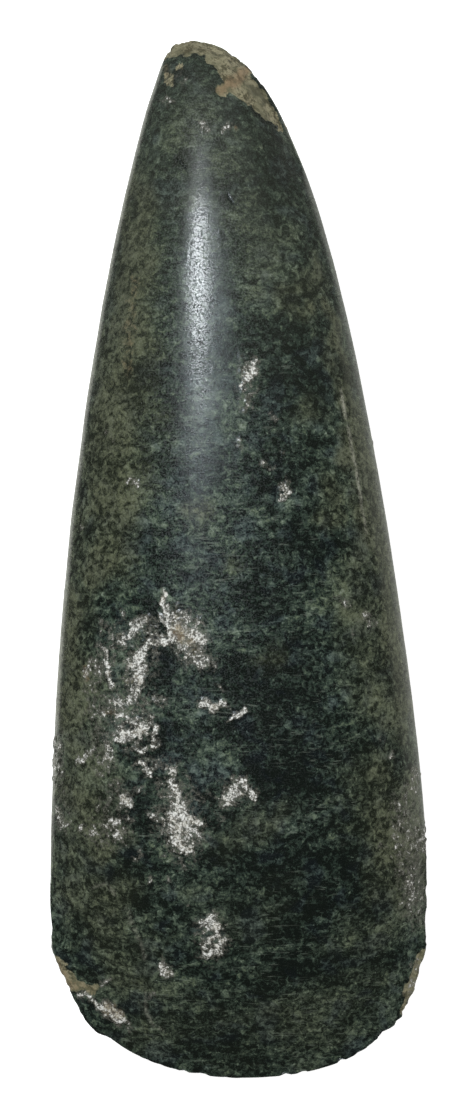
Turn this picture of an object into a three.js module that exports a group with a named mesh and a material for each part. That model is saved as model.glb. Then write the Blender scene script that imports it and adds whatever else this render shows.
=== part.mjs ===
import * as THREE from "three";
import { mergeVertices } from "three/addons/utils/BufferGeometryUtils.js";

// A ground and polished axe head of dark green stone, lying on one of its two faces. Millimetres, +Z up.
// +Y runs from the cutting edge to the butt and +X across the blade. The origin is the middle of the
// stone's footprint, on the surface that it lies on.

// Sizes of the stone
const length = 175; // from the butt to the middle of the cutting edge
const width = 63.6; // across the blade, where it is widest
const thickness = 37.5; // through the belly, from the resting flat to the upper face
const edgeAngle = 60; // between the two faces at the cutting edge, in degrees
const restingFlatDepth = 0.5; // ground off under the belly, so that the stone lies still

// Old damage
const breakRim = 0.5; // how high the break at the butt stands over the middle plane at the outline
const breakSlope = 59; // how steeply that break rises inwards from the outline, in degrees
const scarDepth = 0.95; // the deepest flake scar, square to the face
const nickDepth = 0.85; // the deepest nick in the outline of the edge
const scarLimit = 0.7; // share of the height over the middle plane that a scar may take away

// Fineness of the surface, in cells from the middle of the stone to each of its sides
const halfCells = { across: 14, along: 25, through: 6 };
const curveSteps = 120;

// The outline from above. Each flank is three Bezier curves from the butt to the middle of the edge.
// A point is [share of the width from the middle line, share of the length from the butt].
const buttTip = [-0.13, 0];
const edgeMiddle = [0.009, 1];
const rightShoulder = [0.165, 0.116];
const rightWidest = [0.5, 0.795];
const leftShoulder = [-0.235, 0.056];
const leftWidest = [-0.5, 0.824];
const rightFlank = [
  [buttTip, [0.028, 0], [0.106, 0.063], rightShoulder],
  [rightShoulder, [0.346, 0.276], [0.5, 0.701], rightWidest],
];
const rightEdge = [[rightWidest, [0.5, 0.885], [0.507, 1], edgeMiddle]];
const leftFlank = [
  [buttTip, [-0.203, 0], [-0.206, 0.029], leftShoulder],
  [leftShoulder, [-0.254, 0.074], [-0.5, 0.385], leftWidest],
];
const leftEdge = [[leftWidest, [-0.5, 0.962], [-0.226, 1], edgeMiddle]];

// The form through the thickness, in shares of the length from the butt
const bellyAlong = 0.58; // where the crown of each face stops rising
const crownFall = 0.14; // share of its height that the crown has lost again at the edge
const buttRoundness = 2; // power of the cross-section at the butt: 2 is an ellipse, and more is squarer
const bladeRoundness = 2.5; // the same at the blade
const breakEnds = { left: 0.02, right: 0.125 }; // how far the break runs down each flank from the tip

// Flake scars on the upper face: place in shares, reach as a share of the width, depth as a share of scarDepth
const scars = [
  { across: -0.435, along: 0.925, reach: 0.062, depth: 1 },
  { across: -0.345, along: 0.962, reach: 0.072, depth: 0.9 },
  { across: 0.478, along: 0.893, reach: 0.04, depth: 0.7 },
  { across: 0.452, along: 0.918, reach: 0.052, depth: 1 },
];

// Nicks in the outline of the edge: side, place and half span in shares of the length, depth of nickDepth
const nicks = [
  { side: -1, along: 0.91, halfSpan: 0.026, depth: 1 },
  { side: 1, along: 0.903, halfSpan: 0.016, depth: 0.8 },
  { side: 1, along: 0.957, halfSpan: 0.009, depth: 0.75 },
];

const xOf = (across) => across * width;
const yOf = (along) => (0.5 - along) * length;

// The points of a run of curves, in shares
function sampled(curves) {
  return curves.flatMap((handles) => {
    const corners = handles.map(([across, along]) => new THREE.Vector2(across, along));
    return new THREE.CubicBezierCurve(...corners).getPoints(curveSteps);
  });
}

// The value that a line of points has where its key reaches a number. Key and value are "x" or "y".
function readOff(points, key, value, at) {
  let next = 1;
  while (next < points.length - 1 && points[next][key] < at) next += 1;
  const [before, after] = [points[next - 1], points[next]];
  const share = (at - before[key]) / Math.max(after[key] - before[key], 1e-9);
  return THREE.MathUtils.lerp(before[value], after[value], THREE.MathUtils.clamp(share, 0, 1));
}

const flanks = { left: sampled(leftFlank), right: sampled(rightFlank) };
const cuttingEdge = [...sampled(leftEdge), ...sampled(rightEdge).reverse()];
const outline = {
  left: [...flanks.left, ...sampled(leftEdge)],
  right: [...flanks.right, ...sampled(rightEdge)],
};

// How far the nicks cut into the outline on one side at a station, as a share of the width
function nickAt(side, along) {
  let deepest = 0;
  for (const nick of nicks.filter((one) => one.side === side)) {
    const away = (along - nick.along) / nick.halfSpan;
    deepest = Math.max(deepest, nick.depth * (1 - away * away));
  }
  return (deepest * nickDepth) / width;
}

// The line round the tip that the break at the butt follows, in millimetres on the plan
const brokenRim = [
  ...outline.left.filter((point) => point.y <= breakEnds.left).reverse(),
  ...outline.right.filter((point) => point.y <= breakEnds.right),
].map((point) => [xOf(point.x), yOf(point.y)]);

// Distance in millimetres from a place on the plan to a line on the plan
function distanceTo(line, x, y) {
  let nearest = Infinity;
  for (let i = 1; i < line.length; i += 1) {
    const [ax, ay] = line[i - 1];
    const [dx, dy] = [line[i][0] - ax, line[i][1] - ay];
    const share = ((x - ax) * dx + (y - ay) * dy) / Math.max(dx * dx + dy * dy, 1e-12);
    const t = THREE.MathUtils.clamp(share, 0, 1);
    nearest = Math.min(nearest, Math.hypot(x - ax - t * dx, y - ay - t * dy));
  }
  return nearest;
}

// Height of the crown at a station, as a share of its height at the belly
function crownAt(along) {
  if (along < bellyAlong) return Math.sqrt(1 - (1 - along / bellyAlong) ** 2);
  return 1 - crownFall * ((along - bellyAlong) / (1 - bellyAlong)) ** 2;
}

// Height across a station, as a share of the crown's. Below the widest place it is as wide as there,
// because the cutting edge closes the form.
function sectionAt(across, along) {
  const left = readOff(flanks.left, "y", "x", along);
  const right = readOff(flanks.right, "y", "x", along);
  const side = (2 * across - left - right) / Math.max(right - left, 1e-9);
  const power = THREE.MathUtils.lerp(buttRoundness, bladeRoundness, along);
  return Math.sqrt(Math.max(0, 1 - Math.abs(side) ** power));
}

// Share of the height that is left where the two faces close on the cutting edge
function bladeAt(across, along, halfDepth) {
  const up = (readOff(cuttingEdge, "x", "y", across) - along) * length;
  const rise = (Math.max(0, up) * Math.tan(THREE.MathUtils.degToRad(edgeAngle / 2))) / halfDepth;
  return Math.sqrt(1 - Math.exp(-rise * rise));
}

// Half thickness of the unbroken stone at a place on the plan, before it is brought to size
function halfThickness(across, along, halfDepth) {
  return halfDepth * crownAt(along) * sectionAt(across, along) * bladeAt(across, along, halfDepth);
}

// How far the flake scars lower the upper face at a place
function scarAt(x, y) {
  let deepest = 0;
  for (const scar of scars) {
    const away = Math.hypot(x - xOf(scar.across), y - yOf(scar.along)) / (scar.reach * width);
    deepest = Math.max(deepest, scarDepth * scar.depth * (1 - away * away));
  }
  return deepest;
}

// The upper face: the unbroken stone, less the break at the butt and the flake scars
function upperHeight(whole, x, y) {
  const slope = Math.tan(THREE.MathUtils.degToRad(breakSlope));
  const broken = Math.min(whole, breakRim + slope * distanceTo(brokenRim, x, y));
  return broken - Math.min(scarAt(x, y), scarLimit * broken);
}

// A closed ball of even cells: a box whose corners are drawn in. Its equator is an edge of the cells.
function ballGeometry() {
  const { across, along, through } = halfCells;
  const box = new THREE.BoxGeometry(2, 2, 2, 2 * across, 2 * along, 2 * through);
  box.deleteAttribute("normal");
  box.deleteAttribute("uv");
  const ball = mergeVertices(box, 1e-6);
  const position = ball.getAttribute("position");
  const point = new THREE.Vector3();
  for (let i = 0; i < position.count; i += 1) {
    point.fromBufferAttribute(position, i);
    point.set(...point.toArray().map((part) => Math.tan((part * Math.PI) / 4))).normalize();
    position.setXYZ(i, point.x, point.y, point.z);
  }
  return ball;
}

// The stone: the ball's equator becomes the outline, its stations along Y the stations along the
// stone, and its two halves the two faces
function stoneGeometry() {
  const geometry = ballGeometry();
  const position = geometry.getAttribute("position");
  const halfDepth = (thickness + restingFlatDepth) / 2;
  const places = [];
  const ball = new THREE.Vector3();
  for (let i = 0; i < position.count; i += 1) {
    ball.fromBufferAttribute(position, i);
    const along = (1 - ball.y) / 2;
    const ring = Math.sqrt(Math.max(0, 1 - ball.y * ball.y));
    const side = ring > 1e-6 ? THREE.MathUtils.clamp(ball.x / ring, -1, 1) : 0;
    const left = readOff(outline.left, "y", "x", along) + nickAt(-1, along);
    const right = readOff(outline.right, "y", "x", along) - nickAt(1, along);
    const across = (left + right + side * (right - left)) / 2;
    const whole = halfThickness(across, along, halfDepth);
    const onOutline = Math.abs(ball.z) < 1e-6 || ring <= 1e-6;
    places.push({ x: xOf(across), y: yOf(along), whole, onOutline, upper: ball.z > 0 });
  }
  const toSize = halfDepth / Math.max(...places.map((place) => place.whole));
  places.forEach(({ x, y, whole, onOutline, upper }, i) => {
    const height = whole * toSize;
    const z = upper ? upperHeight(height, x, y) : Math.max(-height, restingFlatDepth - halfDepth);
    position.setXYZ(i, x, y, onOutline ? 0 : z);
  });
  geometry.computeBoundingBox();
  const { min, max } = geometry.boundingBox;
  geometry.translate(-(min.x + max.x) / 2, -(min.y + max.y) / 2, -min.z);
  geometry.computeVertexNormals();
  return geometry;
}

const polishedGreenstone = new THREE.MeshStandardMaterial({
  color: 0x2c352e,
  roughness: 0.38,
  metalness: 0,
});

const stone = new THREE.Mesh(stoneGeometry(), polishedGreenstone);
stone.name = "axe_head";

const axe = new THREE.Group();
axe.add(stone);

export default axe;
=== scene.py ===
import math

import bpy
import numpy as np
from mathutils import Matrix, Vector, noise


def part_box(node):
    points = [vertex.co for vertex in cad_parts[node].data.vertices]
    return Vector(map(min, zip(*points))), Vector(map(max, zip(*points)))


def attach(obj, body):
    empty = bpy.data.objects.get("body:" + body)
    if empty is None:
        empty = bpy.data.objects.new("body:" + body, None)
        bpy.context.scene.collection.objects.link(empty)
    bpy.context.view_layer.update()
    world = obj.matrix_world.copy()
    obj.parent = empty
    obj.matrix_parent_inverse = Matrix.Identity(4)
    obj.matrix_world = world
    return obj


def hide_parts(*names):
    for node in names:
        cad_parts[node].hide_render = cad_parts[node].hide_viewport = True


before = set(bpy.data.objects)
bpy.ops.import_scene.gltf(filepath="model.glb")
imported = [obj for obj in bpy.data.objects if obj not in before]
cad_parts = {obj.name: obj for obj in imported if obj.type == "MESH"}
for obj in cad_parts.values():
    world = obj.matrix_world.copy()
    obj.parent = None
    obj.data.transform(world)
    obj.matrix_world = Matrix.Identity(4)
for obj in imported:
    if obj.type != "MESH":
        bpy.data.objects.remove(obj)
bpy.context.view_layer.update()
lowest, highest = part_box("axe_head")

# All places below are in stone millimetres, from the middle of the footprint, with X across the blade
# and Y towards the butt
modelledLength = 175.0
mm = (highest.y - lowest.y) / modelledLength


def deselectAll():
    if bpy.context.mode != "OBJECT":
        bpy.ops.object.mode_set(mode="OBJECT")
    bpy.ops.object.select_all(action="DESELECT")


def pick(piece):
    deselectAll()
    piece.select_set(True)
    bpy.context.view_layer.objects.active = piece


def colour(hexCode):
    # sRGB hex, as a colour picker shows it, to the linear values that the shader works in
    parts = [int(hexCode[i:i + 2], 16) / 255 for i in (1, 3, 5)]
    linear = [part / 12.92 if part <= 0.04045 else ((part + 0.055) / 1.055) ** 2.4 for part in parts]
    return (*linear, 1.0)


def addNode(tree, kind, inputs=None, **settings):
    made = tree.nodes.new("ShaderNode" + kind)
    for name, value in settings.items():
        setattr(made, name, value)
    for socket, value in (inputs or {}).items():
        if isinstance(value, bpy.types.NodeSocket):
            tree.links.new(value, made.inputs[socket])
        else:
            made.inputs[socket].default_value = value
    return made


# The camera looks straight down on the lying stone, as the photograph looks at its face
cameraPlan = {
    "framedLength": 185.45 * mm,  # what the long side of the picture spans, at the stone's outline
    "aim": (-1.22 * mm, 1.56 * mm),  # the picture's middle, a little left of the stone's and above it
    "lens": 100.0,
    "sensor": 36.0,
}


def makeCamera():
    data = bpy.data.cameras.new("camera")
    data.lens = cameraPlan["lens"]
    data.sensor_width = cameraPlan["sensor"]
    camera = bpy.data.objects.new("camera", data)
    distance = cameraPlan["framedLength"] * data.lens / data.sensor_width
    camera.location = (*cameraPlan["aim"], seamHeight * mm + distance)
    bpy.context.scene.collection.objects.link(camera)
    bpy.context.scene.camera = camera


# How the finished surface departs from the smooth solid. Lengths are in stone millimetres.
surface = {
    "weld": 0.01,  # corners of the solid's triangles that lie nearer than this are one
    "flatness": 70,  # two triangles that meet at less than this many degrees may be one cell
    "levels": 2,
    "seamSlack": 0.05,  # how far from the outline's level a corner may lie and still be on it
    "bladeTop": -52.0,  # where the flanks give way to the cutting edge
    "breakFoot": 70.0,  # how far down the flank the break at the butt runs
    "edgeCrease": 0.75,  # keeps the cutting edge keen when the surface is smoothed
    "waveSize": 11.0,  # the slight flats that grinding by hand leaves
    "waveHeight": 0.08,
    "breakDepth": 0.3,  # how far the broken skin lies under the polished one
    "breakRough": 0.275,
    "breakGrain": 2.2,
    "breakFade": 1.5,  # the break grows calmer this near to the outline, which stays where it is
    "breakRimShare": 0.4,  # how much of its roughness is left there
    "crustHeight": 0.26,
    "crustGrain": 0.9,
    "crustBreakUp": 0.8,  # how far the grains' pattern may thin a mark out
    "crustFrom": (0.5, 1.0),  # the strengths where the crust sets in and where it has its height
    "pimpleSize": 0.5,
    "pimpleHeight": 0.3,  # as a share of the crust's
    "crackDepth": 0.09,
    "ridgeHeight": 0.09,  # the low ridge between two ground facets on the right flank
    "nibbleDepth": 0.5,  # the small chips along the cutting edge
    "nibbleSize": 1.7,
    "nibbleFull": 0.6,  # how high the chips' pattern is where a chip has its full depth
    "nibbleFade": 1.4,
    "cornerFill": 0.85,  # the blade's corners are a little squarer than the solid's
    "cornerFade": 6.0,
}

# How a mark is laid on the stone. A softness is the share of its reach that a mark's rim fades over.
laying = {
    "wrap": 3.0,  # how far a mark on the upper face runs on under the outline
    "wanderSize": 1.6,  # the places wander a little, so that no mark has a ruled rim
    "wander": 0.7,
    "crackWander": 0.3,
    "ridgeWander": 0.12,
    "slowWanderSize": 6.0,  # stains wander further
    "slowWander": 2.6,
    "softness": {"bare": 0.3, "rust": 1.2, "crust": 1.1, "crack": 0.8, "ridge": 1.2, "ochre": 1.4,
                 "dark": 1.4},
    "finerFrom": {"crust": 0.3, "bare": 0.05, "crack": 0.05, "ridge": 0.02},  # where cells are halved
}

# Marks on the upper face. Each is (strength, [(x, y, reach), ...]): a stroke through its points.
breakMarks = [
    (1.0, [(-12.3, 85.6, 1.0), (-10.6, 87.0, 2.0), (-8.2, 87.5, 2.3), (-5.9, 86.8, 1.9), (-3.8, 86.6, 2.7),
           (-1.8, 84.0, 2.7), (-0.6, 81.7, 2.0), (0.8, 79.7, 1.9), (2.4, 78.2, 1.6), (3.8, 76.8, 1.3),
           (5.6, 74.7, 1.0), (7.2, 72.8, 0.6)]),
    (1.0, [(-2.6, 79.4, 1.2), (-0.4, 80.3, 1.7)]),
    (1.0, [(-0.4, 83.6, 0.8), (1.9, 80.9, 0.8), (4.2, 77.6, 0.8)]),
    (0.6, [(-10.2, 82.9, 0.9)]),
    (0.6, [(-11.7, 81.6, 1.0), (-12.1, 80.4, 0.7)]),
    (0.66, [(31.3, -66.4, 1.0), (30.2, -69.6, 1.5), (28.9, -73.4, 1.4), (27.6, -76.0, 0.7)]),
    (0.7, [(-30.4, -67.6, 1.1), (-28.6, -70.6, 1.5), (-26.8, -71.8, 1.0), (-24.8, -72.2, 0.9)]),
]
rustMarks = [
    (0.9, [(-3.0, 79.4, 1.0), (-0.4, 80.9, 1.4), (1.2, 82.5, 1.2)]),
    (0.5, [(-12.3, 82.4, 1.1)]),
    (0.6, [(-0.6, 73.2, 0.6)]),
    (1.0, [(-10.3, -11.7, 0.9), (-9.7, -13.2, 0.9)]),
    (0.9, [(-8.0, -13.9, 0.8)]),
    (0.5, [(-10.4, -10.0, 1.4), (-8.8, -12.8, 2.2), (-7.4, -15.4, 1.4)]),
    (0.8, [(-26.0, -18.4, 0.6), (-25.6, -20.0, 0.7)]),
    (0.6, [(-22.4, -25.6, 0.7), (-20.8, -26.1, 0.6)]),
    (0.5, [(-20.0, -13.0, 0.7)]),
    (0.5, [(-18.4, -20.4, 0.9), (-17.0, -19.8, 0.9)]),
    (0.45, [(-17.6, 47.0, 1.0), (-18.5, 39.0, 1.5), (-18.7, 31.0, 1.0)]),
    (0.6, [(-30.4, -68.0, 0.9), (-28.8, -70.6, 1.0), (-27.0, -71.6, 0.9), (-25.0, -72.3, 0.8)]),
    (0.75, [(-22.0, -75.4, 1.0), (-20.4, -76.6, 1.2)]),
]
crustMarks = [
    (1.0, [(-12.8, -5.5, 0.4), (-12.5, -8.0, 0.5), (-12.3, -10.2, 0.7)]),
    (0.95, [(-16.1, -10.1, 1.0), (-17.3, -11.2, 0.8), (-18.0, -13.0, 0.6)]),
    (0.8, [(-19.5, -9.5, 0.7)]),
    (0.5, [(-23.0, -10.3, 0.4), (-23.2, -11.9, 0.4)]),
    (0.78, [(-10.9, -9.4, 1.5), (-8.8, -12.4, 2.9), (-7.6, -15.2, 2.4), (-5.4, -17.6, 1.4)]),
    (1.0, [(-12.4, -9.8, 0.6), (-11.4, -12.0, 0.5), (-10.6, -14.2, 0.5), (-9.0, -16.4, 0.6)]),
    (0.9, [(-6.9, -12.0, 0.5), (-6.2, -13.9, 0.5), (-7.2, -16.4, 0.8)]),
    (0.95, [(-11.9, -13.7, 0.8), (-14.1, -13.9, 0.9), (-16.3, -15.3, 1.0), (-17.1, -17.8, 1.4),
            (-16.6, -20.3, 1.3), (-17.2, -22.6, 1.0), (-18.4, -23.9, 0.9)]),
    (0.42, [(-15.0, -12.5, 2.4), (-17.6, -17.6, 3.0), (-17.6, -22.8, 2.8), (-19.0, -28.6, 3.4)]),
    (0.34, [(-20.4, -13.0, 2.4), (-22.8, -19.0, 2.4), (-23.4, -26.0, 2.8), (-23.0, -33.0, 2.6)]),
    (0.35, [(-11.6, -36.6, 2.2), (-9.8, -43.0, 4.6), (-9.6, -47.6, 3.6)]),
    (0.3, [(-20.6, -40.0, 2.4), (-21.8, -45.4, 3.4)]),
    (0.3, [(-16.4, -35.4, 1.6), (-13.0, -35.0, 1.6)]),
    (0.2, [(-30.6, -28.0, 1.2), (-30.4, -38.0, 1.2), (-29.6, -45.0, 1.4)]),
    (0.45, [(27.6, -41.0, 1.8), (28.8, -50.0, 2.2), (29.6, -60.0, 1.8)]),
    (0.3, [(-0.8, -39.0, 2.4), (1.4, -39.4, 1.8)]),
    (0.3, [(-4.6, -62.0, 2.2), (-4.4, -65.4, 2.4)]),
    (0.3, [(1.6, 32.0, 1.8), (1.0, 26.0, 1.2)]),
    (0.9, [(-19.5, -13.4, 0.9)]),
    (0.9, [(-22.5, -14.8, 0.5), (-22.2, -18.3, 0.6), (-21.5, -21.4, 0.6)]),
    (0.7, [(-25.7, -19.2, 0.8), (-24.6, -16.8, 0.5)]),
    (0.8, [(-20.6, -24.1, 0.7), (-18.7, -24.2, 0.8)]),
    (0.45, [(-23.2, -25.8, 0.8)]),
    (0.5, [(-14.6, -23.7, 0.7), (-12.9, -24.1, 0.6)]),
    (1.0, [(-20.3, -30.0, 1.2), (-18.2, -29.7, 1.5), (-15.9, -28.4, 1.0)]),
    (0.8, [(-15.1, -26.8, 0.5), (-13.9, -28.9, 0.5), (-14.3, -31.3, 0.6), (-16.1, -32.8, 0.5),
           (-17.7, -31.8, 0.4)]),
    (0.8, [(-20.2, -26.4, 0.7), (-18.3, -27.3, 0.9), (-17.0, -27.0, 0.6)]),
    (0.7, [(-22.1, -30.8, 0.6), (-21.7, -33.7, 0.5)]),
    (0.9, [(-27.2, -34.3, 0.6), (-25.8, -33.2, 0.8), (-24.6, -32.4, 0.5)]),
    (0.6, [(-30.8, -30.7, 0.8), (-30.7, -33.7, 0.8), (-30.9, -37.4, 0.7)]),
    (0.7, [(-30.5, -42.2, 0.6), (-29.3, -44.4, 0.7)]),
    (0.9, [(-16.5, -34.2, 0.4), (-15.4, -35.3, 0.4), (-14.6, -36.5, 0.4)]),
    (0.8, [(-12.1, -35.0, 0.5), (-10.8, -35.2, 0.4)]),
    (0.7, [(-23.4, -36.2, 0.5)]),
    (0.9, [(-19.5, -40.7, 1.0), (-18.2, -41.0, 0.7)]),
    (0.6, [(-16.4, -39.2, 0.8)]),
    (0.95, [(-11.2, -35.6, 0.4), (-11.1, -37.4, 0.6), (-10.6, -39.6, 1.3), (-10.2, -42.4, 2.0),
            (-9.6, -45.4, 3.0), (-9.7, -47.9, 2.2), (-8.4, -49.2, 1.0)]),
    (0.7, [(-14.6, -43.2, 0.7), (-12.5, -44.2, 0.8)]),
    (0.8, [(-6.9, -45.0, 1.0)]),
    (1.0, [(-6.1, -24.4, 0.7), (-4.5, -24.9, 0.9), (-2.4, -24.4, 0.6)]),
    (0.6, [(-4.0, -21.0, 0.3), (-3.2, -21.5, 0.4)]),
    (1.0, [(-1.6, -27.1, 0.4), (-0.3, -26.4, 0.5), (0.9, -25.5, 0.5)]),
    (0.9, [(-1.9, -40.9, 1.2), (-1.2, -39.2, 1.3), (-0.5, -37.8, 1.1), (0.9, -37.2, 0.6)]),
    (0.9, [(1.8, -38.8, 0.5), (2.5, -40.0, 0.8)]),
    (0.8, [(-1.2, -39.8, 1.6), (0.4, -38.7, 1.3), (1.8, -39.4, 1.0)]),
    (0.8, [(-24.7, -43.9, 0.5)]),
    (0.7, [(-26.4, -45.0, 0.5)]),
    (0.9, [(-21.3, -44.1, 0.8), (-20.3, -44.4, 0.6)]),
    (0.7, [(-25.7, -46.3, 0.4), (-24.0, -46.4, 0.4)]),
    (0.8, [(-21.0, -46.7, 0.6), (-19.7, -46.5, 0.4)]),
    (0.6, [(-23.8, -41.7, 0.4)]),
    (0.5, [(-2.8, -43.7, 0.6)]),
    (0.5, [(-16.7, -49.3, 0.4), (-17.5, -50.9, 0.5)]),
    (0.7, [(-15.0, -54.1, 0.4)]),
    (0.8, [(-11.8, -54.0, 0.5)]),
    (0.6, [(-8.4, -58.7, 0.3)]),
    (0.7, [(-7.4, -63.0, 0.4)]),
    (1.0, [(-4.2, -59.9, 0.5), (-5.4, -61.5, 1.0), (-3.6, -61.9, 1.0)]),
    (0.9, [(-5.8, -64.9, 0.9), (-5.1, -66.7, 0.8), (-3.8, -65.7, 0.7), (-2.1, -64.1, 0.7),
           (-4.0, -63.7, 0.6), (-5.8, -64.9, 0.6)]),
    (0.9, [(-12.6, -67.8, 0.5), (-12.9, -69.3, 0.6), (-12.0, -70.2, 0.5), (-11.0, -69.9, 0.5)]),
    (0.7, [(-14.5, -73.1, 0.4), (-15.3, -74.2, 0.3)]),
    (0.6, [(25.4, -33.2, 0.5)]),
    (0.6, [(29.9, -36.0, 0.9), (29.3, -38.4, 1.0)]),
    (0.5, [(28.0, -43.0, 0.6)]),
    (0.7, [(26.7, -46.7, 0.8), (26.9, -48.4, 0.6)]),
    (0.6, [(30.7, -45.6, 0.8), (30.2, -48.6, 1.3), (29.3, -50.4, 1.0)]),
    (0.45, [(24.1, -48.2, 0.5)]),
    (0.45, [(25.2, -50.1, 0.4)]),
    (0.55, [(28.9, -55.4, 1.1), (29.1, -58.1, 0.9)]),
    (0.5, [(24.1, -30.6, 0.5)]),
    (0.6, [(28.6, -68.4, 0.4)]),
    (0.4, [(30.4, -68.0, 0.9), (29.6, -71.4, 1.1), (28.2, -74.8, 0.8)]),
    (0.45, [(18.2, -7.6, 0.7), (16.2, -6.1, 0.5)]),
    (0.45, [(21.2, -9.6, 0.8), (22.4, -11.0, 0.6)]),
    (0.5, [(19.2, -12.6, 0.4)]),
    (0.8, [(2.6, 33.0, 0.9), (2.7, 31.4, 1.0), (1.2, 30.6, 0.8), (0.6, 29.4, 0.5)]),
    (0.5, [(1.1, 26.6, 0.6), (1.2, 25.2, 0.6)]),
    (0.5, [(5.6, 24.2, 0.4), (6.3, 23.4, 0.4)]),
    (0.5, [(0.3, 20.0, 0.5), (0.4, 18.6, 0.4)]),
    (0.5, [(7.6, 18.1, 0.5)]),
    (0.45, [(3.9, 15.8, 0.6), (5.6, 15.4, 0.6)]),
    (0.95, [(7.8, 12.6, 0.7), (7.7, 10.9, 0.9)]),
    (0.8, [(-18.5, 13.4, 0.3), (-17.6, 13.7, 0.3), (-17.2, 12.8, 0.5)]),
    (0.4, [(-21.8, 21.4, 0.4), (-21.3, 20.0, 0.4)]),
    (0.5, [(-26.6, 5.3, 0.4)]),
    (0.5, [(-24.2, -1.8, 0.4)]),
    (0.7, [(-6.4, 73.6, 0.5), (-5.2, 72.9, 0.6)]),
    (0.65, [(-2.4, 72.6, 0.5), (-1.7, 73.3, 0.3)]),
    (0.35, [(-12.8, 77.5, 0.6), (-11.2, 76.7, 0.6)]),
    (0.25, [(-10.2, 81.2, 0.6), (-9.2, 80.9, 0.5)]),
    (0.5, [(-14.2, 54.1, 0.4)]),
    (0.7, [(-23.3, -71.4, 0.4), (-21.6, -70.7, 0.4)]),
    (0.85, [(-26.9, -73.2, 0.4), (-25.1, -73.4, 0.4), (-24.2, -74.5, 0.4), (-23.2, -75.3, 0.5)]),
    (0.85, [(-22.6, -75.5, 0.9), (-21.3, -76.0, 1.1), (-20.4, -76.9, 1.1), (-19.7, -77.8, 0.7)]),
    (0.5, [(-19.2, -78.3, 0.4), (-18.0, -79.4, 0.4)]),
]
crackMarks = [
    (0.8, [(-10.4, 67.4, 0.25), (-8.9, 65.9, 0.3)]),
    (0.8, [(-1.8, 61.4, 0.3), (-1.2, 59.9, 0.3), (-0.4, 59.6, 0.2)]),
    (0.7, [(6.3, 20.4, 0.3), (6.9, 18.0, 0.3), (6.6, 16.6, 0.2)]),
    (0.7, [(8.3, 20.4, 0.3), (8.9, 18.0, 0.3)]),
    (0.7, [(9.4, 15.0, 0.3), (9.7, 12.8, 0.3)]),
]
# Low ridges in the surface; along each lies a pale painted highlight as well
ridgeMarks = [
    (1.0, [(17.1, 28.8, 0.08), (17.4, 27.2, 0.26), (18.0, 23.8, 0.2)]),
    (0.75, [(18.4, 22.4, 0.18), (19.2, 17.8, 0.22), (19.6, 15.8, 0.16)]),
    (0.9, [(19.7, 15.2, 0.18), (20.4, 11.0, 0.22), (20.8, 8.4, 0.14)]),
    (0.55, [(20.8, 8.4, 0.18), (21.6, 4.4, 0.12)]),
    (0.35, [(-18.9, -58.6, 0.14), (-18.0, -61.4, 0.22), (-16.6, -64.6, 0.2), (-15.8, -67.6, 0.16)]),
    (0.35, [(-15.7, -72.9, 0.14), (-15.7, -76.0, 0.22), (-14.5, -78.4, 0.2), (-12.6, -79.6, 0.14)]),
    (0.3, [(-24.6, -55.4, 0.2), (-22.6, -54.6, 0.24), (-20.9, -56.6, 0.18)]),
]
ochreMarks = [
    (0.4, [(-7.0, 76.0, 7.0), (-3.0, 64.0, 12.0), (3.0, 52.0, 10.0)]),
    (0.85, [(-17.2, 62.0, 3.5), (-17.6, 50.0, 4.5), (-18.4, 40.0, 5.0), (-20.2, 28.0, 6.0),
            (-22.0, 12.0, 6.0), (-23.5, -1.0, 5.0)]),
    (0.8, [(-18.6, 43.0, 1.8), (-19.2, 34.0, 2.2)]),
    (0.5, [(-13.5, 22.0, 3.0)]),
    (0.7, [(10.2, 44.7, 3.4), (13.0, 49.0, 2.6)]),
    (0.5, [(11.2, 25.8, 2.6)]),
    (0.6, [(15.0, 12.3, 3.4), (16.0, 7.0, 2.4)]),
    (0.6, [(21.8, 6.0, 3.0), (21.6, -1.0, 5.5), (21.4, -9.0, 5.0), (23.4, -20.0, 5.5),
           (26.6, -29.0, 4.5)]),
    (0.5, [(29.6, -36.0, 1.5), (30.0, -48.0, 2.4), (29.6, -60.0, 1.8)]),
    (0.9, [(14.0, 43.0, 1.6), (18.0, 29.0, 2.6), (20.8, 17.0, 3.2), (24.0, 3.0, 3.4), (26.4, -10.0, 3.4),
           (28.4, -24.0, 3.4)]),
    (0.6, [(5.2, -16.8, 2.4)]),
    (0.7, [(-6.7, 7.5, 2.2)]),
    (0.5, [(-1.1, -1.2, 2.0)]),
    (0.8, [(-23.6, -48.6, 3.0), (-22.6, -50.6, 2.4)]),
    (0.5, [(-2.5, -49.0, 3.4), (7.3, -42.4, 3.0)]),
    (0.6, [(-28.2, -56.0, 4.4), (-20.0, -57.0, 4.0)]),
    (0.85, [(-28.0, -26.0, 4.0), (-28.4, -8.0, 4.0)]),
    (0.8, [(-29.0, -38.0, 3.0), (-27.0, -40.0, 3.0), (-22.0, -49.0, 3.4)]),
    (0.5, [(-15.9, -74.8, 1.0), (-15.4, -80.0, 1.6)]),
    (0.75, [(25.0, -38.0, 7.0), (28.0, -54.0, 7.0)]),
    (0.4, [(-16.0, -80.0, 9.0), (0.0, -80.0, 9.0), (16.0, -76.0, 9.0), (24.0, -62.0, 7.0)]),
    (0.3, [(-10.0, -62.0, 8.0), (6.0, -58.0, 7.0)]),
    (0.6, [(-27.0, -8.0, 4.0), (-27.0, -30.0, 5.0), (-26.0, -50.0, 6.0), (-20.0, -68.0, 8.0)]),
]
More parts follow.
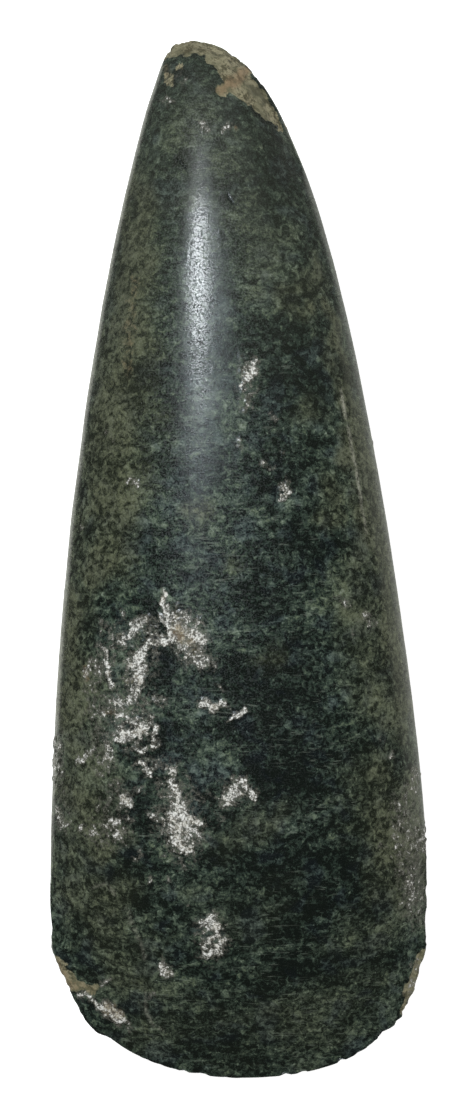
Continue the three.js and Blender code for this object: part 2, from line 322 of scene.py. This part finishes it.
darkMarks = [
    (0.35, [(-14.6, 30.0, 4.6), (-11.8, 20.0, 4.0), (-7.6, 10.0, 3.6)]),
    (0.5, [(9.6, 27.8, 5.0), (9.4, 44.0, 3.0)]),
    (0.6, [(1.7, -6.0, 5.5), (9.8, 2.0, 6.0)]),
    (0.3, [(-7.0, 3.0, 6.0), (-3.0, -4.0, 6.0)]),
    (0.9, [(-14.0, -11.5, 2.6), (-15.4, -8.6, 2.0)]),
    (0.8, [(-12.9, -18.4, 3.2)]),
    (0.8, [(3.5, -20.8, 7.0), (10.0, -36.5, 8.5)]),
    (0.8, [(-3.6, -42.6, 3.4)]),
    (0.7, [(-15.8, -44.6, 3.4), (-22.0, -41.6, 2.4)]),
    (0.6, [(-15.6, -52.6, 3.6), (-22.6, -59.0, 4.0)]),
    (0.4, [(-12.0, -78.0, 9.0), (4.0, -80.0, 9.0), (19.0, -74.0, 9.0)]),
    (0.75, [(9.5, -57.0, 10.0), (7.3, -73.0, 8.5)]),
    (0.5, [(19.5, -48.0, 5.0), (20.0, -64.0, 6.0)]),
    (0.6, [(-12.0, -30.0, 2.6)]),
    (0.5, [(0.6, 85.0, 0.7), (3.6, 81.4, 0.7), (7.6, 76.2, 0.7)]),
    (0.3, [(-12.2, 85.2, 1.2), (-9.0, 86.8, 1.4), (-5.6, 86.4, 1.2)]),
]
# The face that the stone lies on is out of sight, so it has only a few marks
undersideCrust = [
    (0.9, [(12.0, -20.0, 1.4), (14.0, -24.0, 2.0), (12.6, -28.0, 1.2)]),
    (0.8, [(-15.0, 6.0, 1.2), (-13.4, 3.0, 0.9)]),
    (0.7, [(4.0, 40.0, 0.9)]),
    (0.8, [(-18.0, -52.0, 1.6), (-15.0, -54.0, 1.0)]),
]
undersideOchre = [
    (0.7, [(16.0, 30.0, 5.0), (20.0, 4.0, 6.0), (22.0, -20.0, 5.0)]),
    (0.6, [(-14.0, 44.0, 5.0), (-20.0, -34.0, 7.0)]),
]

# Where the cutting edge is chipped, and where the tip of the butt is stepped
nibbleMarks = [
    (1.0, [(27.5, -76.0, 3.0), (22.0, -81.0, 3.0), (14.0, -84.6, 3.0), (6.0, -87.0, 3.0)]),
    (0.6, [(6.0, -87.0, 3.0), (-4.0, -87.0, 3.0), (-11.0, -84.5, 3.0)]),
    (0.35, [(-11.0, -84.5, 3.0), (-24.0, -77.0, 3.0), (-31.0, -66.0, 3.0)]),
    (0.45, [(31.5, -50.0, 3.0), (31.5, -60.0, 3.0), (29.0, -72.0, 3.0)]),
    (0.6, [(-10.0, 86.5, 3.0), (-2.0, 86.0, 3.0), (3.5, 82.0, 3.0)]),
]
# Where the blade is fuller than the solid
cornerMarks = [
    (1.0, [(-31.2, -66.0, 2.4), (-30.0, -69.5, 4.0), (-27.0, -74.5, 4.0), (-23.5, -78.0, 2.4)]),
    (0.65, [(31.0, -66.0, 2.4), (29.5, -70.0, 4.0), (26.5, -75.5, 3.6), (23.5, -78.6, 1.6)]),
]


def closeness(places, stroke):
    # 1 on a stroke's line, 0 at its reach and less beyond it, seen from above
    best = np.full(len(places), -np.inf)
    spans = list(zip(stroke[:-1], stroke[1:])) or [(stroke[0], stroke[0])]
    for start, end in spans:
        run = np.array(end[:2]) - np.array(start[:2])
        share = np.clip((places[:, :2] - start[:2]) @ run / max(run @ run, 1e-9), 0, 1)
        away = np.linalg.norm(places[:, :2] - start[:2] - share[:, None] * run, axis=1)
        reach = start[2] + share * (end[2] - start[2])
        best = np.maximum(best, 1 - away / reach)
    return best


def coverage(places, marks, softness):
    # The strongest mark at each place, with a soft rim that is a share of its reach
    covered = np.zeros(len(places))
    for strength, stroke in marks:
        covered = np.maximum(covered, strength * np.clip(closeness(places, stroke) / softness + 0.5, 0, 1))
    return covered


def lumps(places, size, seed, octaves=3):
    # Soft noise, mostly from -1 to 1, in lumps of the given size
    shift = Vector((3.7 * seed, 1.9 * seed, 5.3 * seed))
    return np.array([noise.fractal(Vector(place) / size + shift, 1.0, 2.0, octaves) for place in places])


def readPlaces(piece):
    values = np.empty(len(piece.data.vertices) * 3)
    piece.data.vertices.foreach_get("co", values)
    return values.reshape(-1, 3) / mm


def readNormals(piece):
    values = np.empty(len(piece.data.vertices) * 3)
    piece.data.vertices.foreach_get("normal", values)
    return values.reshape(-1, 3)


def writePlaces(piece, places):
    piece.data.vertices.foreach_set("co", (places * mm).ravel())
    piece.data.update()


def smoothStep(values, start, end):
    share = np.clip((values - start) / (end - start), 0, 1)
    return share * share * (3 - 2 * share)


def seenFromCamera(places):
    # A mark's place is where the camera sees it in the level of the outline. What is nearer looks larger.
    aim = np.array(cameraPlan["aim"]) / mm
    distance = cameraPlan["framedLength"] / mm * cameraPlan["lens"] / cameraPlan["sensor"]
    nearer = distance / (distance - (places[:, 2] - seamHeight))
    return aim + (places[:, :2] - aim) * nearer[:, None]


def marksAt(places):
    # Every mark's strength at each place
    seen = seenFromCamera(places)
    drift = np.stack([lumps(places, laying["wanderSize"], seed) for seed in (11, 12)], axis=1)
    slowDrift = np.stack([lumps(places, laying["slowWanderSize"], seed) for seed in (13, 14)], axis=1)
    wandered = seen + laying["wander"] * drift
    stained = seen + laying["slowWander"] * slowDrift
    upper = {
        "bare": (wandered, breakMarks),
        "rust": (wandered, rustMarks),
        "crust": (wandered, crustMarks),
        "crack": (seen + laying["crackWander"] * drift, crackMarks),
        "ridge": (seen + laying["ridgeWander"] * drift, ridgeMarks),
        "ochre": (stained, ochreMarks),
        "dark": (stained, darkMarks),
    }
    underside = {"crust": (wandered, undersideCrust), "ochre": (stained, undersideOchre)}
    onTop = np.clip(1 + (places[:, 2] - seamHeight) / laying["wrap"], 0, 1)
    below = np.clip((seamHeight - places[:, 2]) / laying["wrap"], 0, 1)
    softness = laying["softness"]
    marks = {name: coverage(*mark, softness[name]) * onTop for name, mark in upper.items()}
    for name, mark in underside.items():
        marks[name] += coverage(*mark, softness[name]) * below
    return marks


def smoothStone():
    # The solid's triangles become even four-sided cells again, which smooth into one curved surface
    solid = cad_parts["axe_head"]
    piece = bpy.data.objects.new("axe_stone", solid.data.copy())
    bpy.context.scene.collection.objects.link(piece)
    pick(piece)
    bpy.ops.object.mode_set(mode="EDIT")
    bpy.ops.mesh.select_all(action="SELECT")
    bpy.ops.mesh.remove_doubles(threshold=surface["weld"] * mm)
    flatness = math.radians(surface["flatness"])
    bpy.ops.mesh.tris_convert_to_quads(face_threshold=flatness, shape_threshold=flatness)
    bpy.ops.object.mode_set(mode="OBJECT")
    return piece


def selectKeenEdges(piece):
    # The cutting edge, and the rim of the break at the butt
    places = readPlaces(piece)
    onOutline = abs(places[:, 2] - seamHeight) < surface["seamSlack"]
    keen = onOutline & ((places[:, 1] < surface["bladeTop"]) | (places[:, 1] > surface["breakFoot"]))
    for edge in piece.data.edges:
        edge.select = bool(keen[list(edge.vertices)].all())


def keenEdge(piece):
    pick(piece)
    bpy.ops.object.mode_set(mode="EDIT")
    bpy.ops.mesh.select_mode(type="EDGE")
    bpy.ops.mesh.select_all(action="DESELECT")
    bpy.ops.object.mode_set(mode="OBJECT")
    selectKeenEdges(piece)
    bpy.ops.object.mode_set(mode="EDIT")
    bpy.ops.transform.edge_crease(value=surface["edgeCrease"])
    bpy.ops.object.mode_set(mode="OBJECT")


def applied(piece, kind, **settings):
    modifier = piece.modifiers.new(kind.lower(), kind)
    for name, value in settings.items():
        setattr(modifier, name, value)
    pick(piece)
    bpy.ops.object.modifier_apply(modifier=modifier.name)


def refineWhereMarked(piece):
    # Smaller cells where the crust, the break, the cracks and the ridge need them
    marks = marksAt(readPlaces(piece))
    wanted = np.any([marks[name] > least for name, least in laying["finerFrom"].items()], axis=0)
    pick(piece)
    bpy.ops.object.mode_set(mode="EDIT")
    bpy.ops.mesh.select_mode(type="FACE")
    bpy.ops.mesh.select_all(action="DESELECT")
    bpy.ops.object.mode_set(mode="OBJECT")
    for polygon in piece.data.polygons:
        polygon.select = bool(wanted[list(polygon.vertices)].any())
    bpy.ops.object.mode_set(mode="EDIT")
    bpy.ops.mesh.subdivide(number_cuts=1, smoothness=0.0, ngon=False)
    bpy.ops.object.mode_set(mode="OBJECT")


def nearOutline(places, fade):
    # 1 on the outline, and 0 as far above or below it as the fade
    return np.clip(1 - abs(places[:, 2] - seamHeight) / fade, 0, 1)


def breakRelief(places):
    rimShare = surface["breakRimShare"]
    inward = 1 - nearOutline(places, surface["breakFade"])
    rough = surface["breakRough"] * lumps(places, surface["breakGrain"], 2, 4)
    return rough * (rimShare + (1 - rimShare) * inward) - surface["breakDepth"] * inward


def crustRelief(places, strength):
    spread = strength + surface["crustBreakUp"] * lumps(places, surface["crustGrain"], 3)
    pimples = surface["pimpleHeight"] * (lumps(places, surface["pimpleSize"], 4, 1) - 1)
    return surface["crustHeight"] * smoothStep(spread, *surface["crustFrom"]) * (1 + pimples)


def edgeRelief(places):
    # The chips along the cutting edge, and the fuller corners of the blade
    chips = smoothStep(lumps(places, surface["nibbleSize"], 5), 0.0, surface["nibbleFull"])
    chipped = nearOutline(places, surface["nibbleFade"]) * coverage(places, nibbleMarks, 1.0)
    fuller = nearOutline(places, surface["cornerFade"]) * coverage(places, cornerMarks, 1.0)
    return surface["cornerFill"] * fuller - surface["nibbleDepth"] * chipped * chips


def wearSurface(piece):
    # All relief is square to the surface
    places = readPlaces(piece)
    marks = marksAt(places)
    lift = surface["waveHeight"] * lumps(places, surface["waveSize"], 1, 2) * (1 - marks["bare"])
    lift += marks["bare"] * breakRelief(places)
    lift += crustRelief(places, marks["crust"])
    lift -= surface["crackDepth"] * marks["crack"]
    lift += surface["ridgeHeight"] * marks["ridge"]
    lift += edgeRelief(places)
    moved = places + readNormals(piece) * lift[:, None]
    moved[:, 2] = np.maximum(moved[:, 2], 0.0)  # nothing sinks into the table
    writePlaces(piece, moved)
    for name, values in marks.items():
        layer = piece.data.attributes.new(name, "FLOAT", "POINT")
        layer.data.foreach_set("value", values.astype(np.float32))


# Colours of the stone and of what is on it. A pattern is (size in millimetres, detail, sharpness,
# distortion). A limit is (from, to) or (from, to, low, high): the values between which a colour sets in,
# and how much of it there is at each, which is 0 and 1 where it isn't said. A share is (field weights,
# base, limit): the weighed sum of the fields, from the base, is held against the limit.
rock = {
    "gap": "#0e1410",
    "middle": "#29352d",
    "light": "#586555",
    "leaf": "#58624a",
    "pale": "#7f897b",
    "slateDark": "#10161a",
    "slate": "#445153",
    "ochreDark": "#22261a",
    "ochreLight": "#60624b",
    # A painted sheen: a greyer, paler colour laid over the upper half, standing in for the reflection of
    # the light in the polish
    "paintedSheen": "#40433a",
    "grain": (0.98, 5.0, 0.66, 0.7),  # the felted mineral grains
    "flake": (2.0, 4.0, 0.6, 1.0),  # the paler wisps that lie along the stone's banding
    "cloud": (6.5, 3.0, 0.55, 0.4),
    "fleck": (0.33, 3.0, 0.6, 0.0),
    "patch": (4.5, 2.0, 0.5, 0.6),
    "scratch": (0.42, 1.0, 0.5, 0.4),
    "bandingTurn": -6,
    "bandingStretch": (0.45, 1, 1),
    "scratchStretch": (0.12, 1, 0.5),
    "scratchSets": ((-8, 0.3), (24, 0.25), (-38, 0.25)),  # the turn in degrees, and the strength
    "paleness": {"grain": 1.12, "flake": 0.52, "cloud": 0.45, "fleck": 0.34, "dark": -0.16, "ochre": 0.045},
    "palenessBase": -0.735,  # brings the mean paleness to a half
    "leafLimit": (0.48, 0.66, 0.0, 0.6),
    "middleLimit": (0.35, 0.51),
    "lightLimit": (0.49, 0.69),
    "paleLimit": (0.67, 0.83),
    "fleckShare": ({"fleck": 1.0, "paleness": 0.35}, 0.0, (0.84, 0.95, 0.0, 0.8)),
    "scratchLimit": (0.67, 0.74),
    "scratchGround": (0.42, 0.58),
    "tintLimit": (0.34, 0.7),
    "slateLimit": (0.5, 0.34, 0.0, 0.55),
    "ochreShare": ({"ochre": 1.0, "cloud": 0.8}, 0.0, (0.45, 1.35, 0.0, 0.75)),
    "paintedSheenLimit": (0.0, 78.0, 0.0, 0.36),  # painted sheen, a paler veil like reflected light, growing along the stone in millimetres towards the butt
}

# Where the polished skin is gone. Its colours lie on the break, the chips and the rust; the pale colour on
# the ridge is a painted highlight, a thin bright streak like a reflection along it.
breakLooks = {
    "shade": "#3b3a2a",
    "dark": "#48442f",
    "light": "#8b856a",
    "olive": "#65644b",
    "rust": "#8a7155",
    # A painted highlight: a pale streak along the ridge, as the polish would reflect a light there
    "ridgeHighlight": "#9d9c8c",
    "lightShare": ({"grain": 0.5, "fleck": 0.35, "flake": 0.35}, -0.1, (0.43, 0.57)),
    "oliveLimit": (0.46, 0.6, 0.0, 0.55),
    "shadeShare": ({"dark": 1.0, "grain": 0.8}, 0.0, (0.6, 1.1, 0.0, 0.8)),
    "bareShare": ({"bare": 1.0, "grain": 0.8, "flake": 0.8}, 0.0, (1.15, 1.4)),
    "rustShare": ({"rust": 0.7, "grain": 1.2}, 0.0, (0.8, 1.4, 0.0, 0.75)),
    "rustMost": 0.85,
    "crackLimit": (0.2, 0.7, 0.0, 0.8),
    "ridgeHighlightShare": ({"grain": 1.0, "fleck": 0.5}, 0.0, (0.6, 0.85, 0.15, 0.9)),
}

# The crust has broken into flecks: where a mark is weak, only the peaks of its pattern are covered
crustLooks = {
    "dark": "#6c6a60",
    "light": "#e2e1db",
    "tan": "#918569",
    "crumb": (0.55, 5.0, 0.75, 0.0),
    "island": (1.9, 3.0, 0.6, 0.8),
    "stain": (2.4, 3.0, 0.6, 0.0),
    "spread": {"crumb": 0.95, "island": 0.6, "crust": 0.31},
    "spreadBase": -0.35,
    "markLimit": (0.02, 0.12),
    "coverLimit": (0.64, 0.71),
    "groundLimit": (0.46, 0.66, 0.0, 0.62),  # the grey ground round the flecks
    "lightShare": ({"fleck": 0.8, "crumb": 0.4, "crust": 0.05}, -0.1, (0.45, 0.63)),
    "tanLimit": (0.5, 0.64, 0.0, 0.22),
    "bumpStrength": 0.6,
    "bumpDepth": 0.15,
    "thickness": 0.6,  # of the crust, as a share of that depth
}

polish = {
    "indexOfRefraction": 1.56,
    "sparkle": (0.3, 2.0, 0.6, 0.0),  # the fine pits that break up the highlight
    "roughnessLimit": (0.48, 0.6, 0.17, 0.5),  # from the smooth ground to the pits
    "dullRoughness": 0.85,  # of the crust and the break
    "bumpStrength": 0.5,
    "bumpDepth": 0.036,
}


def weighed(tree, fields, weights, base):
    # The sum of named fields, each times its weight, from a base
    total = base
    for name, weight in weights.items():
        inputs = {0: fields[name], 1: weight, 2: total}
        total = addNode(tree, "Math", inputs, operation="MULTIPLY_ADD").outputs[0]
    return total


def limited(tree, value, start, end, low=0.0, high=1.0):
    inputs = {"Value": value, "From Min": start, "From Max": end, "To Min": low, "To Max": high}
    return addNode(tree, "MapRange", inputs, interpolation_type="SMOOTHSTEP").outputs["Result"]


def shareOf(tree, fields, plan):
    weights, base, limit = plan
    return limited(tree, weighed(tree, fields, weights, base), *limit)


def product(tree, first, second):
    return addNode(tree, "Math", {0: first, 1: second}, operation="MULTIPLY").outputs[0]


def mixed(tree, share, first, second):
    # Two colours, each a hex code or the output of a node
    inputs = {"Fac": share}
    for socket, value in (("Color1", first), ("Color2", second)):
        inputs[socket] = colour(value) if isinstance(value, str) else value
    return addNode(tree, "MixRGB", inputs).outputs["Color"]


def pattern(tree, place, size, detail, sharpness, distortion):
    inputs = {"Vector": place, "Scale": 1.0 / (size * mm), "Detail": detail, "Roughness": sharpness,
              "Distortion": distortion}
    return addNode(tree, "TexNoise", inputs).outputs["Fac"]


def stretched(tree, place, turn, stretch):
    inputs = {"Vector": place, "Rotation": (0, 0, math.radians(turn)), "Scale": stretch}
    return addNode(tree, "Mapping", inputs).outputs["Vector"]


def stoneFields(tree, place):
    # The marks that lie on the surface and the patterns in the rock and the crust, by name
    fields = {}
    for name in laying["softness"]:
        fields[name] = addNode(tree, "Attribute", attribute_name=name).outputs["Fac"]
    banded = stretched(tree, place, rock["bandingTurn"], rock["bandingStretch"])
    for name in ("grain", "fleck", "patch"):
        fields[name] = pattern(tree, place, *rock[name])
    for name in ("flake", "cloud"):
        fields[name] = pattern(tree, banded, *rock[name])
    for name in ("crumb", "island", "stain"):
        fields[name] = pattern(tree, place, *crustLooks[name])
    fields["sparkle"] = pattern(tree, place, *polish["sparkle"])
    fields["paleness"] = weighed(tree, fields, rock["paleness"], rock["palenessBase"])
    return fields


def rockColour(tree, place, fields):
    # From the dark gaps to the pale grains, and over them the scratches, the slate, the ochre and a painted
    # sheen, a veil like reflected light that grows towards the butt
    paleness, patch = fields["paleness"], fields["patch"]
    light = mixed(tree, limited(tree, patch, *rock["leafLimit"]), rock["light"], rock["leaf"])
    body = mixed(tree, limited(tree, paleness, *rock["middleLimit"]), rock["gap"], rock["middle"])
    body = mixed(tree, limited(tree, paleness, *rock["lightLimit"]), body, light)
    body = mixed(tree, limited(tree, paleness, *rock["paleLimit"]), body, rock["pale"])
    body = mixed(tree, shareOf(tree, fields, rock["fleckShare"]), body, rock["pale"])
    ground = limited(tree, fields["cloud"], *rock["scratchGround"])
    for turn, strength in rock["scratchSets"]:
        brushed = pattern(tree, stretched(tree, place, turn, rock["scratchStretch"]), *rock["scratch"])
        scratch = limited(tree, brushed, *rock["scratchLimit"], 0.0, strength)
        body = mixed(tree, product(tree, scratch, ground), body, rock["pale"])
    tint = limited(tree, paleness, *rock["tintLimit"])
    slate = mixed(tree, tint, rock["slateDark"], rock["slate"])
    body = mixed(tree, limited(tree, patch, *rock["slateLimit"]), body, slate)
    ochre = mixed(tree, tint, rock["ochreDark"], rock["ochreLight"])
    body = mixed(tree, shareOf(tree, fields, rock["ochreShare"]), body, ochre)
    # The painted sheen, strongest towards the butt
    along = addNode(tree, "SeparateXYZ", {"Vector": place}).outputs["Y"]
    foot, top, low, high = rock["paintedSheenLimit"]
    return mixed(tree, limited(tree, along, foot * mm, top * mm, low, high), body, rock["paintedSheen"])


def brokenColour(tree, fields):
    looks = breakLooks
    body = mixed(tree, shareOf(tree, fields, looks["lightShare"]), looks["dark"], looks["light"])
    body = mixed(tree, limited(tree, fields["patch"], *looks["oliveLimit"]), body, looks["olive"])
    return mixed(tree, shareOf(tree, fields, looks["shadeShare"]), body, looks["shade"])


def crustColour(tree, fields, rusty):
    looks = crustLooks
    body = mixed(tree, shareOf(tree, fields, looks["lightShare"]), looks["dark"], looks["light"])
    body = mixed(tree, limited(tree, fields["stain"], *looks["tanLimit"]), body, looks["tan"])
    return mixed(tree, rusty, body, looks["tan"])


def stoneNormal(tree, fields, dull, crusted):
    # The pits in the polish, and over them the crust and the grain of what is dull
    pits = addNode(tree, "Bump", {"Height": fields["sparkle"], "Strength": polish["bumpStrength"],
                                  "Distance": polish["bumpDepth"] * mm})
    heights = {"crusted": crusted, "grit": product(tree, dull, fields["fleck"])}
    relief = weighed(tree, heights, {"crusted": crustLooks["thickness"], "grit": 1.0}, 0.0)
    raised = addNode(tree, "Bump", {"Height": relief, "Strength": crustLooks["bumpStrength"],
                                    "Distance": crustLooks["bumpDepth"] * mm,
                                    "Normal": pits.outputs["Normal"]})
    return raised.outputs["Normal"]


def polishedSerpentinite():
    # Serpentinite, ground wet on sandstone and polished: near-black green, felted with paler grains. The
    # polish gives a small bright reflection, the crust and the break stay dull.
    material = bpy.data.materials.new("polished_serpentinite")
    material.use_nodes = True
    tree = material.node_tree
    tree.nodes.clear()
    place = addNode(tree, "TexCoord").outputs["Object"]
    fields = stoneFields(tree, place)

    bare = shareOf(tree, fields, breakLooks["bareShare"])
    rusty = shareOf(tree, fields, breakLooks["rustShare"])
    cracked = limited(tree, fields["crack"], *breakLooks["crackLimit"])
    # Painted highlight along the ridge
    ridgeHighlight = product(tree, fields["ridge"], shareOf(tree, fields, breakLooks["ridgeHighlightShare"]))
    spread = weighed(tree, fields, crustLooks["spread"], crustLooks["spreadBase"])
    marked = limited(tree, fields["crust"], *crustLooks["markLimit"])
    grounded = product(tree, limited(tree, spread, *crustLooks["groundLimit"]), marked)
    crusted = product(tree, limited(tree, spread, *crustLooks["coverLimit"]), marked)

    body = mixed(tree, bare, rockColour(tree, place, fields), brokenColour(tree, fields))
    body = mixed(tree, product(tree, rusty, breakLooks["rustMost"]), body, breakLooks["rust"])
    body = mixed(tree, cracked, body, rock["gap"])
    body = mixed(tree, grounded, body, crustLooks["dark"])
    body = mixed(tree, ridgeHighlight, body, breakLooks["ridgeHighlight"])
    body = mixed(tree, crusted, body, crustColour(tree, fields, rusty))

    dull = addNode(tree, "Math", {0: bare, 1: crusted}, operation="MAXIMUM").outputs[0]
    polished = limited(tree, fields["sparkle"], *polish["roughnessLimit"])
    roughness = addNode(tree, "MapRange", {"Value": dull, "To Min": polished,
                                           "To Max": polish["dullRoughness"]}).outputs["Result"]
    shader = addNode(tree, "BsdfPrincipled", {"Base Color": body, "Roughness": roughness,
                                              "IOR": polish["indexOfRefraction"],
                                              "Normal": stoneNormal(tree, fields, dull, crusted)})
    addNode(tree, "OutputMaterial", {"Surface": shader.outputs["BSDF"]})
    return material


# A pale table that glows a little, as a light table does, so that the stone stands out on near-white
table = {"size": 6.0, "colour": "#e6e6e4", "glow": 0.7, "roughness": 0.9}


def makeTable():
    deselectAll()
    bpy.ops.mesh.primitive_plane_add(size=table["size"], location=(0, 0, 0))
    floor = bpy.context.active_object
    floor.name = "table"
    material = bpy.data.materials.new("pale_table")
    material.use_nodes = True
    shader = material.node_tree.nodes["Principled BSDF"]
    shader.inputs["Base Color"].default_value = colour(table["colour"])
    shader.inputs["Roughness"].default_value = table["roughness"]
    shader.inputs["Emission Color"].default_value = (1, 1, 1, 1)
    shader.inputs["Emission Strength"].default_value = table["glow"]
    floor.data.materials.append(material)
    floor.visible_glossy = False  # else its white would fill both flanks of the polished stone


room = {"colour": "#e4e4e2", "strength": 0.06}

# The lights, in metres. One that isn't "seen" has no image in the polish, and one that doesn't "light"
# shows in the polish alone.
lights = {
    "sky": {"place": (0.0, 0.15, 1.3), "size": (2.2, 2.2), "watts": 22.0, "tint": (1.0, 1.0, 1.0),
            "aim": (0, 0, 0), "seen": False, "light": True},
    "lamp": {"place": (-0.285, 0.42, 0.93), "size": (0.13, 0.28), "watts": 2.9, "tint": (0.93, 0.97, 1.0),
             "aim": (0, 0.03, 0.03), "seen": True, "light": True},
    "halo": {"place": (-0.234, 0.365, 0.98), "size": (0.4, 0.48), "watts": 1.7, "tint": (0.76, 0.9, 1.0),
             "aim": (0, 0.03, 0.03), "seen": True, "light": True},
    "veil": {"place": (0.1, 0.9, 0.85), "size": (1.6, 0.8), "watts": 0.5, "tint": (0.95, 1.0, 0.98),
             "aim": (0, 0.03, 0.03), "seen": True, "light": True},
    "leftGround": {"place": (-0.0335, 0.005, 0.0005), "size": (0.019, 0.175), "watts": 0.0085,
                   "tint": (0.98, 1.0, 0.9), "aim": (-0.0335, 0.005, 1), "turn": 8.5,
                   "seen": True, "light": False},
    "rightGround": {"place": (0.032, 0.018, 0.0005), "size": (0.022, 0.135), "watts": 0.0045,
                    "tint": (0.97, 1.0, 0.9), "aim": (0.032, 0.018, 1), "turn": -12,
                    "seen": True, "light": False},
    "rightTable": {"place": (0.076, -0.014, 0.0005), "size": (0.052, 0.14), "watts": 0.008,
                   "tint": (0.95, 1.0, 0.84), "aim": (0.076, -0.014, 1), "turn": -12,
                   "seen": True, "light": False},
}


def makeLights():
    for name, plan in lights.items():
        data = bpy.data.lights.new(name, "AREA")
        data.shape = "RECTANGLE"
        data.size, data.size_y = plan["size"]
        data.energy = plan["watts"]
        data.color = plan["tint"]
        light = bpy.data.objects.new(name, data)
        light.location = plan["place"]
        towards = Vector(plan["aim"]) - Vector(plan["place"])
        light.rotation_euler = towards.to_track_quat("-Z", "Y").to_euler()
        light.rotation_euler.rotate_axis("Z", math.radians(plan.get("turn", 0)))
        light.visible_camera = False
        light.visible_glossy = plan["seen"]
        light.visible_diffuse = plan["light"]
        bpy.context.scene.collection.objects.link(light)
    world = bpy.data.worlds.new("room")
    world.use_nodes = True
    world.node_tree.nodes["Background"].inputs["Color"].default_value = colour(room["colour"])
    world.node_tree.nodes["Background"].inputs["Strength"].default_value = room["strength"]
    bpy.context.scene.world = world
    bpy.context.scene.view_settings.view_transform = "Standard"


stone = smoothStone()
stonePlaces = readPlaces(stone)
seamHeight = float(stonePlaces[stonePlaces[:, 1].argmin(), 2])  # the outline lies in one level plane
print("stone copied:", len(stone.data.polygons), "cells, outline at", round(seamHeight, 2), "mm")

keenEdge(stone)
applied(stone, "SUBSURF", levels=surface["levels"], render_levels=surface["levels"])
refineWhereMarked(stone)
wearSurface(stone)
pick(stone)
bpy.ops.object.shade_smooth()
stone.data.materials.clear()
stone.data.materials.append(polishedSerpentinite())
triangles = sum(len(polygon.vertices) - 2 for polygon in stone.data.polygons)
print("stone surface made:", triangles, "triangles")

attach(stone, "root")
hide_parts("axe_head")

makeCamera()
makeTable()
makeLights()
print("camera, table and lights made")
